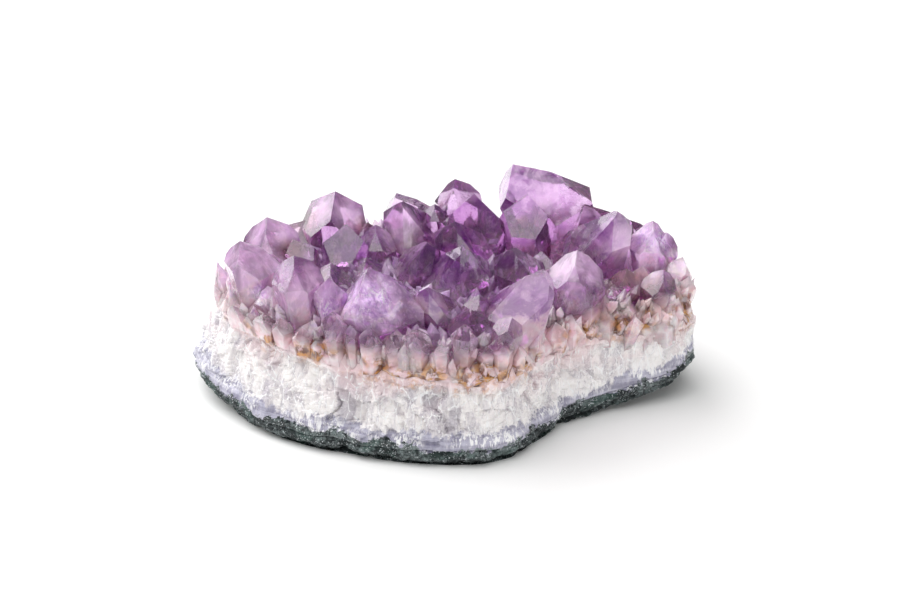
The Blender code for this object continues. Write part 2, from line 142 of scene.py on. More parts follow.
# Light: the room all round, then each lamp's name, place, width and height in metres, and power in watts
ROOM_LIGHT = 0.27
LAMPS = (
    ("softbox_left", (-0.62, 0.45, 0.62), 1.4, 1.1, 13.2),
    ("softbox_above", (-0.1, -0.3, 0.97), 1.1, 0.9, 7.2),
    ("softbox_right", (0.9, -0.6, 0.35), 0.7, 0.5, 2.2),
)
FLOOR_REACH = 3.0


# Numbers into surfaces


def edge_radius(angles):
    """How far the slab's edge is from the centre in each direction, straight between the edge's points."""
    x, y = (np.array(EDGE, float) - CENTRE).T
    order = np.argsort(np.arctan2(y, x))
    return np.interp(angles, np.arctan2(y, x)[order], np.hypot(x, y)[order], period=2 * math.pi)


def even_angles(count):
    """Angles spaced evenly along the edge, how far along it each one is, and the edge's length."""
    fine = np.linspace(-math.pi, math.pi, 4001)
    along = edge_radius(fine)
    steps = np.hypot(np.diff(along * np.cos(fine)), np.diff(along * np.sin(fine)))
    travelled = np.concatenate([[0], np.cumsum(steps)])
    wanted = np.arange(count) / count * travelled[-1]
    return np.interp(wanted, travelled, fine), wanted, travelled[-1]


ANGLES, ALONG, GIRTH = even_angles(AROUND)
RADII = edge_radius(ANGLES)


def wall_lean(angles):
    """How far the quartz wall leans in by its top, in millimetres: most at the left end."""
    return np.interp(np.cos(angles), [-1.0, -0.8, 0.0, 1.0], [5.5, 4.0, 1.2, 0.4])


def rough(x, y, size, seed):
    """The CAD's own smooth noise, from about -1 to 1. It is worked out on a net of points a sixth of its
    size apart, and is blended straight between the four nearest of them."""
    step = size / 6
    low = np.array([-66.0, -52.0])
    counts = np.ceil((2 * np.abs(low) + 8) / step).astype(int)
    net = np.array([
        [noise.noise(Vector((a / size + seed, b / size - seed, 2 * seed)))
         for b in low[1] + step * np.arange(counts[1])]
        for a in low[0] + step * np.arange(counts[0])
    ])
    u, v = (x - low[0]) / step, (y - low[1]) / step
    i, j = u.astype(int), v.astype(int)
    u, v = u - i, v - j
    left = net[i, j] * (1 - v) + net[i, j + 1] * v
    return left * (1 - u) + (net[i + 1, j] * (1 - v) + net[i + 1, j + 1] * v) * u


def base_height(x, y):
    """How far the crust's underside is off the floor: it curves up towards the ends and the back."""
    right = 0.0035 * np.maximum(0.0, x - 15) ** 2
    left = 0.0060 * np.maximum(0.0, -35 - x) ** 2
    back = 0.0080 * np.maximum(0.0, y - 15) ** 2
    return right + left + back


def rind_top(x, y):
    """Height of the border between the crust and the quartz."""
    return base_height(x, y) + RIND_THICKNESS + 1.3 * rough(x, y, 9, 3)


def quartz_top(x, y):
    """Height of the quartz wall's uneven top, which falls a little to the right."""
    return QUARTZ_TOP - QUARTZ_TOP_FALL * x + 1.2 * rough(x, y, 11, 5) + 0.8 * rough(x, y, 4, 8)


def hashed(cells, seed):
    """A number from 0 to 1 for each whole number in the array, the same each time."""
    mixed = np.sin(cells * 12.71 + seed * 31.17) * 43758.5453
    return mixed - np.floor(mixed)


def waves(points, size, seed):
    """Smooth noise in space, from about -1 to 1: each corner of a net of cubes has a slope of its own, and
    the heights that the eight slopes give at a point are blended with eased weights."""
    scaled = points / size + seed * 7.3
    cell = np.floor(scaled)
    part = scaled - cell
    ease = part ** 3 * (part * (part * 6 - 15) + 10)
    total = np.zeros(len(points))
    for corner in np.ndindex(2, 2, 2):
        key = (cell + corner) @ np.array([5.7, 31.1, 91.3])
        slope = np.stack([hashed(key, seed + k) * 2 - 1 for k in range(3)], axis=1)
        weight = np.prod(np.where(corner, ease, 1 - ease), axis=1)
        total += weight * ((part - corner) * slope).sum(axis=1)
    return total * 1.6


def near(points, places):
    """1 at the middle of any of the places, easing to 0 at its reach."""
    share = np.zeros(len(points))
    for x, y, z, reach in places:
        far = np.linalg.norm(points - (x, y, z), axis=1) / reach
        share = np.maximum(share, np.clip(1.4 * (1 - far), 0, 1))
    return share * share * (3 - 2 * share)


def cells_round(u, v, wrap):
    """For each (u, v), the nine nearest cells of an uneven net whose u repeats after wrap: the cell's own
    number, and how far the point is from the cell's corner in each direction."""
    for di in (-1, 0, 1):
        for dj in (-1, 0, 1):
            i, j = np.floor(u) + di, np.floor(v) + dj
            yield np.mod(i, wrap) * 5.731 + j * 11.397, u - i, v - j


def broken(u, v, seed, wrap):
    """Flat facets: each cell of an uneven net has its own height and its own slope. With (du, dv) from the
    nearest cell's middle, the height is h + a*du + b*dv."""
    best = np.full(np.shape(u * v), 1e9)
    height = np.zeros(np.shape(u * v))
    for cell, du, dv in cells_round(u, v, wrap):
        du = du - 0.15 - 0.7 * hashed(cell, seed)
        dv = dv - 0.15 - 0.7 * hashed(cell, seed + 1)
        own = (
            hashed(cell, seed + 2) * 2 - 1
            + 1.3 * (hashed(cell, seed + 3) * 2 - 1) * du
            + 1.3 * (hashed(cell, seed + 4) * 2 - 1) * dv
        )
        nearer = du * du + dv * dv < best
        best = np.where(nearer, du * du + dv * dv, best)
        height = np.where(nearer, own, height)
    return height


def lumps(u, v, seed, wrap):
    """Rounded grains: 1 at each cell's middle, falling to 0 at its edges as 1 - 1.3 * distance squared."""
    best = np.full(np.shape(u * v), 1e9)
    for cell, du, dv in cells_round(u, v, wrap):
        du, dv = du - hashed(cell, seed), dv - hashed(cell, seed + 1)
        best = np.minimum(best, du * du + dv * dv)
    return np.maximum(0.0, 1 - 1.3 * best)


def placed(name, data):
    """A new object in the scene for a mesh, a lamp or a camera."""
    obj = bpy.data.objects.new(name, data)
    bpy.context.scene.collection.objects.link(obj)
    return obj


def in_metres(points):
    """From the CAD's millimetres, before its origin was moved, to the frame's metres."""
    return (points - (*CAD_ORIGIN, 0)) * MM


def new_object(name, points, faces):
    """points in the CAD's millimetres, before its origin was moved."""
    mesh = bpy.data.meshes.new(name)
    mesh.from_pydata(in_metres(points), [], faces)
    mesh.update()
    return placed(name, mesh)


def closed_surface(name, x, y, z):
    """A closed mesh from a grid of points: rows go round the slab, columns from the lower lid's middle up
    the side to the upper lid's middle. The first and the last column are each one point."""
    around, up = np.shape(x)
    points = np.stack([x, y, z], axis=-1)
    inner = points[:, 1:-1].reshape(-1, 3)
    index = np.arange(around * (up - 2)).reshape(around, up - 2)
    turned = np.roll(index, -1, axis=0)
    corners = [index[:, :-1], turned[:, :-1], turned[:, 1:], index[:, 1:]]
    quads = np.stack(corners, axis=-1).reshape(-1, 4)
    low, high = np.full((2, around), [[around * (up - 2)], [around * (up - 2) + 1]])
    bottom = np.stack([turned[:, 0], index[:, 0], low], axis=-1)
    top = np.stack([index[:, -1], turned[:, -1], high], axis=-1)
    both = np.concatenate([inner, points[:, [0, -1]].mean(axis=0)])
    return new_object(name, both, [*quads.tolist(), *bottom.tolist(), *top.tolist()])


def shade(obj, degrees):
    """Smooth shading, with edges sharper than the angle kept crisp."""
    obj.data.shade_smooth()
    obj.data.set_sharp_from_angle(angle=math.radians(degrees))


def read_all(items, name, width, kind=float):
    """One property of all of a mesh's items, a row for each."""
    values = np.empty(len(items) * width, kind)
    items.foreach_get(name, values)
    return values.reshape(-1, width)


def points_of(obj):
    """The mesh's points in the CAD's millimetres, before its origin was moved."""
    return read_all(obj.data.vertices, "co", 3) / MM + (*CAD_ORIGIN, 0)


def note(obj, name, values):
    """Keeps a number for each of the mesh's points, for its material to read."""
    kept = obj.data.attributes.new(name, "FLOAT", "POINT")
    kept.data.foreach_set("value", np.asarray(values, np.float32).ravel())


def from_rim(points):
    """How far in from the slab's edge each point is, in millimetres, seen from above."""
    out = points[:, :2] - CENTRE
    return edge_radius(np.arctan2(out[:, 1], out[:, 0])) - np.hypot(out[:, 0], out[:, 1])


def by_rim(angle, inward):
    """x and y at a distance in from the slab's edge."""
    far = edge_radius(angle) - inward
    return CENTRE[0] + far * np.cos(angle), CENTRE[1] + far * np.sin(angle)


def rim_beside(points):
    """x and y of the slab's edge in each point's direction from the centre."""
    out = points[:, :2] - CENTRE
    return by_rim(np.arctan2(out[:, 1], out[:, 0]), 0)


# The quartz wall and the crust


def plan(share, inset):
    """x and y of points at a share of the edge's radius less an inset, both arrays of (round, up)."""
    along = RADII[:, None] * share - inset
    return CENTRE[0] + along * np.cos(ANGLES)[:, None], CENTRE[1] + along * np.sin(ANGLES)[:, None]


def quartz_wall():
    """The side is the CAD's, leaning in with height, less facets of four sizes, 7, 2.7, 1.2 and 0.5 mm wide
    and up to twice as tall. They die out in the smooth agate at the foot. The top rises by about 2 mm in
    broken steps within 1 mm of its edge, between the roots of the crystals, and is down again 14 mm in."""
    up = np.linspace(0, 1, WALL_ROWS)[None, :]
    lean = wall_lean(ANGLES)[:, None]
    foot = rind_top(*plan(1.0, 0 * lean)) + 0.3
    head = quartz_top(*plan(1.0, lean))
    level = foot + up * (head - foot)
    around = ALONG[:, None] / GIRTH
    sway = 0.004 * np.sin(level / 3.1 + 40 * around) + 0.002 * np.sin(level / 1.3 + 90 * around)
    u = around + sway
    relief = sum(
        depth * broken(u * count, level / tall, seed, count) for depth, count, tall, seed in FACETS
    )
    agate = np.clip((level - foot - 0.8) / 3.0, 0.08, 1.0)
    edge = np.clip((1 - up) * 12, 0.3, 1.0)
    inset = lean * up - 0.5 + (0.7 + 0.6 * relief) * agate * edge
    x, y = plan(1.0, inset)
    low_shares = np.array([[0.0, 0.3, 0.62, 0.86]])
    high_shares = 1 - np.concatenate([np.linspace(0.01, 0.35, WALL_TOP_ROWS), [0.6, 1.0]])[None, :]
    xl, yl = plan(low_shares, 0 * lean)
    xh, yh = plan(high_shares, lean * high_shares + 0.2)
    inner = (1 - high_shares) * RADII[:, None]
    crest = np.clip(1.8 + 1.7 * broken(around * 90, inner / 3, 51, 90), 0.1, 5)
    swell = np.clip(inner / 0.9, 0, 1) ** 0.7 * np.clip((14 - inner) / 8, 0, 1)
    flat = np.stack([xh, yh, 0 * xh], axis=-1).reshape(-1, 3)
    zh = quartz_top(xh, yh) - 0.1 + swell * (crest + 0.9 * waves(flat, 1.6, 4).reshape(xh.shape))
    grid = [np.concatenate(parts, axis=1) for parts in
            ((xl, x, xh), (yl, y, yh), (rind_top(xl, yl) + 0.3, level, zh))]
    obj = closed_surface("broken_quartz", *grid)
    shade(obj, 14)
    points = points_of(obj)
    rim = rim_beside(points)
    note(obj, "above_foot", points[:, 2] - rind_top(*rim))
    note(obj, "below_top", quartz_top(*rim) - points[:, 2])
    note(obj, "inward", from_rim(points))
    note(obj, "rust", near(points, RUST_SPOTS))
    return obj


def crust():
    """The CAD's crust: flat patch, underside, belly and shoulder. Grains of three sizes, 6, 2.4 and 1 mm
    wide, stand out of all but the patch, 1.0, 0.7 and 0.35 high before the whole is scaled by 1.25 mm."""
    none = np.zeros((AROUND, 1))
    under = np.concatenate([[0.0, 0.25], np.linspace(0.5, 0.965, UNDERSIDE_ROWS)])[None, :]
    xl, yl = plan(under, none)
    drop = np.clip((under - 0.5) / 0.3, 0, 1)
    zl = drop * (base_height(xl, yl) + 0.5 * np.clip(drop - 0.5, 0, 1) * (1 + rough(xl, yl, 6, 2)))
    xe, ye = plan(1.0, none)
    base, top = base_height(xe, ye), rind_top(xe, ye)
    turn = np.linspace(0, 1, CRUST_ROWS)[None, :]
    belly = np.sin(turn * math.pi) ** 0.7
    xs, ys = plan(1.0, 2.2 * (1 - turn) ** 2 - 0.9 * belly + 0.5)
    zs = base + 0.5 + (top - base - 0.4) * turn
    lid = np.array([[0.9, 0.6, 0.3, 0.0]])
    xh, yh = plan(lid, none)
    x, y, z = (np.concatenate(parts, axis=1) for parts in
               ((xl, xs, xh), (yl, ys, yh), (zl, zs, rind_top(xh, yh) - 0.1)))
    steps = np.hypot(np.diff(z.mean(axis=0)), np.diff(np.hypot(x, y).mean(axis=0)))
    u, v = ALONG[:, None] / GIRTH, np.concatenate([[0], np.cumsum(steps)])[None, :]
    grains = sum(high * lumps(u * count, v / tall, seed, count) for high, count, tall, seed in GRAINS)
    still = np.zeros(lid.size)
    where = np.concatenate([np.clip((under[0] - 0.52) / 0.2, 0, 1), np.ones(CRUST_ROWS), still])[None, :]
    out = (grains - 1.2) * where * 1.25
    outward = np.sin(np.linspace(0.1, 1.0, CRUST_ROWS) * 0.5 * math.pi)
    sideways = np.concatenate([0 * under[0], outward, still])
    reach = np.hypot(x - CENTRE[0], y - CENTRE[1]) + 1e-9
    x = x + out * sideways * (x - CENTRE[0]) / reach
    y = y + out * sideways * (y - CENTRE[1]) / reach
    z = np.maximum(z - out * (1 - sideways), 0.0)
    obj = closed_surface("grainy_crust", x, y, z)
    shade(obj, 70)
    points = points_of(obj)
    rim = rim_beside(points)
    note(obj, "below_quartz", rind_top(*rim) - points[:, 2])
    return obj


# The crystals


def ridges_and_valleys(mesh, sharp=12):
    """1 at the points on edges that stand out by more than the angle, the marks for painted highlights, and
    1 at those on edges that lie in, the marks for painted shade with some real dirt, spread to the points
    round them four times over, each taking half of its neighbours' mean."""
    normals, middles = read_all(mesh.polygons, "normal", 3), read_all(mesh.polygons, "center", 3)
    ends = read_all(mesh.edges, "vertices", 2, np.int32)
    edge_of_corner = read_all(mesh.loops, "edge_index", 1, np.int32)[:, 0]
    order = np.argsort(edge_of_corner, kind="stable")
    paired = np.bincount(edge_of_corner, minlength=len(ends))[edge_of_corner[order]] == 2
    first, second = (order[paired].reshape(-1, 2) // 3).T
    edges = ends[edge_of_corner[order[paired][::2]]]
    bent = (normals[first] * normals[second]).sum(axis=1) < math.cos(math.radians(sharp))
    outward = ((middles[second] - middles[first]) * normals[first]).sum(axis=1) < 0
    count = len(mesh.vertices)
    ridge_highlight = np.bincount(edges[bent & outward].ravel(), minlength=count) > 0
    valley_shade_and_dirt = (np.bincount(edges[bent & ~outward].ravel(), minlength=count) > 0).astype(float)
    beside = np.maximum(np.bincount(ends.ravel(), minlength=count), 1)
    for _ in range(4):
        total = np.bincount(ends[:, 0], valley_shade_and_dirt[ends[:, 1]], count)
        total += np.bincount(ends[:, 1], valley_shade_and_dirt[ends[:, 0]], count)
        valley_shade_and_dirt = np.maximum(valley_shade_and_dirt * 0.9, 0.5 * valley_shade_and_dirt + 0.5 * total / beside)
    return ridge_highlight, valley_shade_and_dirt


def crystals():
    """The CAD solid with its faces cut fine. Three waves, one for each axis, shift its points: growth waves
    of 0.04 and 0.06 mm all over, 0.3 mm towards the roots and 0.7 mm where crystals are cracked."""
    shape = bmesh.new()
    shape.from_mesh(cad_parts["amethyst_crystals"].data)
    bmesh.ops.remove_doubles(shape, verts=shape.verts, dist=0.004 * MM)
    bmesh.ops.dissolve_limit(shape, angle_limit=math.radians(1.0), verts=shape.verts, edges=shape.edges)
    bmesh.ops.triangulate(shape, faces=shape.faces)
    for longest in LONGEST_EDGES:
        for _ in range(4):
            long = [edge for edge in shape.edges if edge.calc_length() > longest * MM]
            if not long:
                break
            bmesh.ops.subdivide_edges(shape, edges=long, cuts=1)
            bmesh.ops.triangulate(shape, faces=[face for face in shape.faces if len(face.verts) > 3])
    mesh = bpy.data.meshes.new("amethyst_points")
    shape.to_mesh(mesh)
    shape.free()
    obj = placed("amethyst_points", mesh)
    shade(obj, 9)
    ridge_highlight, valley_shade_and_dirt = ridges_and_valleys(mesh)
    points = points_of(obj)
    cracked = near(points, CRACKED)
    roots = np.clip((26 - points[:, 2]) / 5, 0, 1)
    shift = np.stack([
        0.035 * waves(points, 1.7, k) + 0.06 * waves(points, 5, k + 3)
        + roots * (0.3 * waves(points, 1.6, k + 12) + 0.3 * waves(points, 3.5, k + 15))
        + cracked * (0.7 * waves(points, 3.2, k + 6) + 0.22 * waves(points, 1.3, k + 9))
        for k in range(3)
    ], axis=1)
    mesh.vertices.foreach_set("co", in_metres(points + shift).ravel())
    mesh.update()
    # Ridges carry painted highlights; valleys carry painted shade, with some real dirt
    note(obj, "ridge_highlight", ridge_highlight)
    note(obj, "valley_shade_and_dirt", valley_shade_and_dirt)
    note(obj, "cracked", cracked)
    for name, places in (("smoky", SMOKY), ("vivid", VIVID), ("pale", PALE), ("rust", RUST_SPOTS)):
        note(obj, name, near(points, places))
    note(obj, "inward", from_rim(points))
    return obj


def six_sided(name, middles, axes, radii, lengths, seed):
    """Crystals from arrays, one row each: a prism of six uneven sides that ends in a point. The ring at the
    foot is three quarters as wide as the one at the shoulder, and a point's height is 1.15 of its radius."""
    draw = np.random.default_rng(seed)
    count = len(middles)
    axes = axes / np.linalg.norm(axes, axis=1)[:, None]
    across = np.cross(axes, draw.normal(size=(count, 3)))
    across /= np.linalg.norm(across, axis=1)[:, None]
    other = np.cross(axes, across)
    turn = np.arange(6) * math.pi / 3
    ring = across[:, None] * np.cos(turn)[:, None] + other[:, None] * np.sin(turn)[:, None]
    ring = ring * (draw.uniform(0.72, 1.1, (count, 6)) * radii[:, None])[:, :, None]
    along = (axes * lengths[:, None])[:, None]
    shift = draw.uniform(-0.3, 0.3, (count, 1, 3)) * radii[:, None, None]
    foot = middles[:, None] + ring * 0.75
    shoulder = middles[:, None] + ring + along * draw.uniform(0.6, 1.0, (count, 6, 1))
    tip = middles[:, None] + along + (axes * radii[:, None])[:, None] * 1.15 + shift
    points = np.concatenate([foot, shoulder, tip, middles[:, None]], axis=1).reshape(-1, 3)
    i, j = np.arange(6), (np.arange(6) + 1) % 6
    sides = np.stack([i, j, j + 6, i + 6], axis=1)
    caps = np.stack([np.append(i + 6, j), np.append(j + 6, i), np.repeat([12, 13], 6)], axis=1)
    starts = np.arange(count)[:, None, None] * 14
    faces = (sides + starts).reshape(-1, 4).tolist() + (caps + starts).reshape(-1, 3).tolist()
    obj = new_object(name, points, faces)
    shade(obj, 9)
    # Painted shade, with some real dirt, at each small crystal's foot
    note(obj, "valley_shade_and_dirt", np.tile(np.repeat([0.35, 0.0, 0.35], [6, 7, 1]), count))
    note(obj, "cracked", np.repeat(draw.uniform(0, 0.5, count), 14))
    note(obj, "smoky", near(points, SMOKY))
    note(obj, "pale", np.repeat(draw.uniform(0.3, 1, count), 14))
    note(obj, "rust", near(points, RUST_SPOTS))
    note(obj, "inward", from_rim(points))
    return obj


def root_top(x, y, inward):
    """Height of the layer that the crystals grow from: it rises steeply over the first 4 mm in."""
    return quartz_top(x, y) + np.interp(inward, [0.0, 0.2, 4.0], [0.6, 1.5, 6.0])


def leaning(tilt, heading):
    """Directions that lean out from upright by a tilt in degrees, towards a heading in radians."""
    tilt = np.radians(tilt)
    return np.stack([np.sin(tilt) * np.cos(heading), np.sin(tilt) * np.sin(heading), np.cos(tilt)], axis=1)


def rim_points(count):
    """Tall milky crystals that stand side by side along the wall's top, rooted 1 to 4.5 mm below it.
    At the back they stand up to 1.6 mm further out, where large crystals reach the edge."""
    draw = np.random.default_rng(3)
    angle = ANGLES[(np.arange(count) * AROUND // count + draw.integers(-2, 3, count)) % AROUND]
    radii = 1.1 + 2.3 * draw.uniform(0, 1, count) ** 2
    further_out = 1.6 * np.clip(np.sin(angle), 0, 1)
    x, y = by_rim(angle, wall_lean(angle) + radii * 0.85 - further_out + draw.uniform(-0.3, 1.2, count))
    z = quartz_top(x, y) - draw.uniform(1.0, 4.5, count)
    axes = leaning(draw.uniform(-16, 22, count), angle + draw.normal(0, 0.6, count))
    middles = np.stack([x, y, z], axis=1)
    return six_sided("rim_points", middles, axes, radii, 1.3 * radii + draw.uniform(1.0, 5.5, count), 5)


def outside(tree, point):
    """Whether a point is outside the solid that the tree holds: the nearest face looks towards it."""
    spot, normal, _, _ = tree.find_nearest(point)
    return (Vector(point) - spot).dot(normal) > 0


def strewn_points(tree, name, count, inward_from_to, radii, seed):
    """Small crystals strewn over the root layer between two distances in from the wall, leaning every way.
    Those whose tips would be inside a large crystal are left out. tree holds the large crystals' faces."""
    nearest, furthest = inward_from_to
    draw = np.random.default_rng(seed)
    angle = ANGLES[draw.integers(0, AROUND, count)]
    inward = nearest + (furthest - nearest) * draw.uniform(0, 1, count) ** 0.8
    x, y = by_rim(angle, wall_lean(angle) + inward)
    z = root_top(x, y, inward) - draw.uniform(0.3, 1.5, count)
    axes = leaning(draw.uniform(5, 40, count), angle + draw.normal(0, 1.0, count))
    middles = np.stack([x, y, z], axis=1)
    radii, lengths = draw.uniform(*radii, count), draw.uniform(1.2, 4.0, count)
    tips = middles + axes * (lengths + radii)[:, None]
    free = np.array([outside(tree, tip) for tip in in_metres(tips)])
    return six_sided(name, middles[free], axes[free], radii[free], lengths[free], seed)


# Materials


class Value:
    """An output in a material's nodes that can be computed with. Numbers go through Math nodes."""

    def __init__(self, graph, socket):
        self.graph, self.socket = graph, socket

    def __add__(self, other):
        return self.graph.math("ADD", self, other)

    def __sub__(self, other):
        return self.graph.math("SUBTRACT", self, other)

    def __rsub__(self, other):
        return self.graph.math("SUBTRACT", other, self)

    def __mul__(self, other):
        return self.graph.math("MULTIPLY", self, other)

    def __neg__(self):
        return self * -1.0

    __radd__, __rmul__ = __add__, __mul__

    def between(self, low, high):
        """0 at low and 1 at high, clamped and eased."""
        return self.graph.node(
            "ShaderNodeMapRange", {"Value": self, "From Min": low, "From Max": high},
            interpolation_type="SMOOTHSTEP",
        )["Result"]


class Outputs:
    """A node's outputs, read by name or number."""

    def __init__(self, graph, node):
        self.graph, self.node = graph, node

    def __getitem__(self, name):
        return Value(self.graph, self.node.outputs[name])


class Graph:
    """A material's nodes."""

    def __init__(self, name):
        self.material = bpy.data.materials.new(name)
        self.material.use_nodes = True
        self.tree = self.material.node_tree
        self.shader = self.tree.nodes["Principled BSDF"]
        self.place = self.node("ShaderNodeTexCoord")["Object"]

    def feed(self, socket, value):
        """Links an output to a socket, or sets the socket to a constant."""
        if isinstance(value, Value):
            self.tree.links.new(value.socket, socket)
        elif socket.type == "RGBA" and len(value) == 3:
            socket.default_value = (*value, 1.0)
        else:
            socket.default_value = value

    def node(self, kind, sockets=None, **settings):
        """Any node: its settings come first, then its sockets."""
        made = self.tree.nodes.new(kind)
        for key, value in settings.items():
            setattr(made, key, value)
        for key, value in (sockets or {}).items():
            self.feed(made.inputs[key], value)
        return Outputs(self, made)

    def math(self, operation, *values):
        """One step of arithmetic on numbers."""
        return self.node("ShaderNodeMath", dict(enumerate(values)), operation=operation)["Value"]

    def stretched(self, x, y, z):
        """The place in millimetres, divided by a size along each axis."""
        return self.node(
            "ShaderNodeVectorMath", {0: self.place, 1: (1000 / x, 1000 / y, 1000 / z)}, operation="MULTIPLY"
        )["Vector"]

    def noise(self, size, detail=2.0, roughness=0.5, distortion=0.0, output="Fac"):
        """Noise with bumps of the given size in millimetres, one number or one for each axis."""
        x, y, z = size if isinstance(size, tuple) else (size,) * 3
        return self.node(
            "ShaderNodeTexNoise",
            {"Vector": self.stretched(x, y, z), "Scale": 1.0, "Detail": detail, "Roughness": roughness,
             "Distortion": distortion},
        )[output]

    def facets(self, size, warp, amount):
        """A number of its own for each cell of an uneven net, with the net bent by a warp."""
        bent = self.node(
            "ShaderNodeVectorMath", {0: warp, 1: (amount,) * 3, 2: self.stretched(*size)},
            operation="MULTIPLY_ADD",
        )["Vector"]
        cell = self.node("ShaderNodeTexVoronoi", {"Vector": bent, "Scale": 1.0})["Color"]
        return self.node("ShaderNodeSeparateColor", {"Color": cell})["Red"]

    def cells(self, size, feature="F1"):
        """Distance from the nearest cell's middle, or from its edge, in an uneven net."""
        x, y, z = size if isinstance(size, tuple) else (size,) * 3
        return self.node(
            "ShaderNodeTexVoronoi", {"Vector": self.stretched(x, y, z), "Scale": 1.0}, feature=feature
        )["Distance"]

    def place_part(self, axis):
        """One coordinate in millimetres."""
        return self.node("ShaderNodeSeparateXYZ", {"Vector": self.place})[axis] * 1000

    def height(self):
        """Height above the floor in millimetres."""
        return self.place_part("Z")

    def noted(self, name):
        """A number that the mesh keeps for each of its points."""
        return self.node("ShaderNodeAttribute", attribute_name=name)["Fac"]

    def larger(self, one, other):
        """The larger of two numbers."""
        return self.math("MAXIMUM", one, other)

    def mix(self, factor, low, high):
        """A colour between two."""
        return self.node("ShaderNodeMix", {0: factor, 6: low, 7: high}, data_type="RGBA")[2]

    def bump(self, height, depth):
        """A surface normal from a height that runs from 0 to 1, depth in millimetres."""
        return self.node("ShaderNodeBump", {"Height": height, "Distance": depth * MM})["Normal"]

    def surface(self, **sockets):
        """Sets the surface shader's sockets, by name with _ for a space."""
        for key, value in sockets.items():
            self.feed(self.shader.inputs[key.replace("_", " ")], value)

    def wear(self, obj, slot):
        """Gives a piece this material alone. The slot argument is not used."""
        obj.data.materials.clear()
        obj.data.materials.append(self.material)


def milky_crystal(g, height, zones, depth, valley_shade_and_dirt, root_height):
    """Colour of the crystals' milky parts, rose at the roots and lilac above, and where rust and white
    threads lie in it. It also paints shade: dark violet veins in the cracked crystals, and plum in the
    creases between crystals, where real brown dirt lies too. White lines along the ridges are painted
    highlights."""
    cracked, pale, smoky = g.noted("cracked"), g.noted("pale"), g.noted("smoky")
    rose = g.mix(g.noise(2.5, 3).between(0.35, 0.65), ROSE, CREAM)
    rose = g.mix(smoky * 0.7, rose, ROSE_SMOKE)
    lilac = g.mix(g.noise(6, 4, 0.6, 0.8).between(0.36, 0.66), LILAC, VIOLET)
    lilac = g.mix(depth, lilac, DEEP_VIOLET)
    lilac = g.mix(pale * 0.7, lilac, PALE_LILAC)
    lilac = g.mix(cracked * 0.8, lilac, CRACKED_LILAC)
    lilac = g.mix(smoky * 0.8, lilac, SMOKE)
    body = g.mix((height + 4 * (zones - 0.5)).between(root_height - 4, root_height + 5), rose, lilac)
    # Painted shade: dark violet veins in the cracked crystals
    crack_shade = g.noise((1.8, 1.8, 3.0), 4, 0.6, 2.0).between(0.50, 0.62) * cracked
    body = g.mix(crack_shade * 0.65, body, CRACK_SHADE_VIOLET)
    # Painted shade in the creases between crystals, plum, mixed by noise with real brown dirt
    valley_shade_and_dirt_colour = g.mix(g.noise(3, 2).between(0.4, 0.6), VALLEY_SHADE_PLUM, VALLEY_DIRT_BROWN)
    body = g.mix(valley_shade_and_dirt * 0.75, body, valley_shade_and_dirt_colour)
    rust = g.mix(g.noise(1.6, 3).between(0.4, 0.6), *CRYSTAL_RUST)
    grains = g.noise(2.6, 4, 0.6).between(0.40, 0.52)
    rusty = g.noted("rust") * grains * height.between(29, 23) * g.noise(6, 2).between(0.38, 0.50)
    thread = g.math("ABSOLUTE", g.noise((2.6, 2.6, 4.5), 3, 0.55, 2.5) - 0.5).between(0.034, 0.008)
    thread = thread * g.noise(3.5, 2).between(0.40, 0.54)
    # Painted highlights: thin white lines along the crystals' outward edges, joined to the real white
    # threads
    ridge_highlight = g.noted("ridge_highlight").between(0.62, 0.95) * g.noise(3, 3).between(0.35, 0.60)
    threads_and_highlights = g.larger(thread * (cracked + pale * 0.04), ridge_highlight * 0.22)
    return g.mix(threads_and_highlights, g.mix(rusty, body, rust), THREAD_AND_HIGHLIGHT_WHITE), rusty, threads_and_highlights


def milkiness(g, height, depth, root_height, veil):
    """The share of milky crystal: most of it at the roots, veils and wisps above."""
    cracked, pale, vivid = g.noted("cracked"), g.noted("pale"), g.noted("vivid")
    ragged = height + 5 * (g.noise(4, 3) - 0.5) + g.noted("inward") * 0.5
    roots = ragged.between(root_height, root_height - 6)
    wisps = g.noise((2, 2, 5), 5, 0.7, 2.0).between(0.50, 0.66)
    patches = 0.28 + g.noise((4, 4, 7), 3, 0.5, 0.8).between(0.35, 0.65) * 0.35
    veils = veil + wisps * (0.12 + cracked * 0.2) + cracked * 0.2
    veils = veils + pale * patches + vivid * 0.42 + depth * 0.2
    return g.larger(roots * 0.85, g.math("MINIMUM", veils, 0.85))


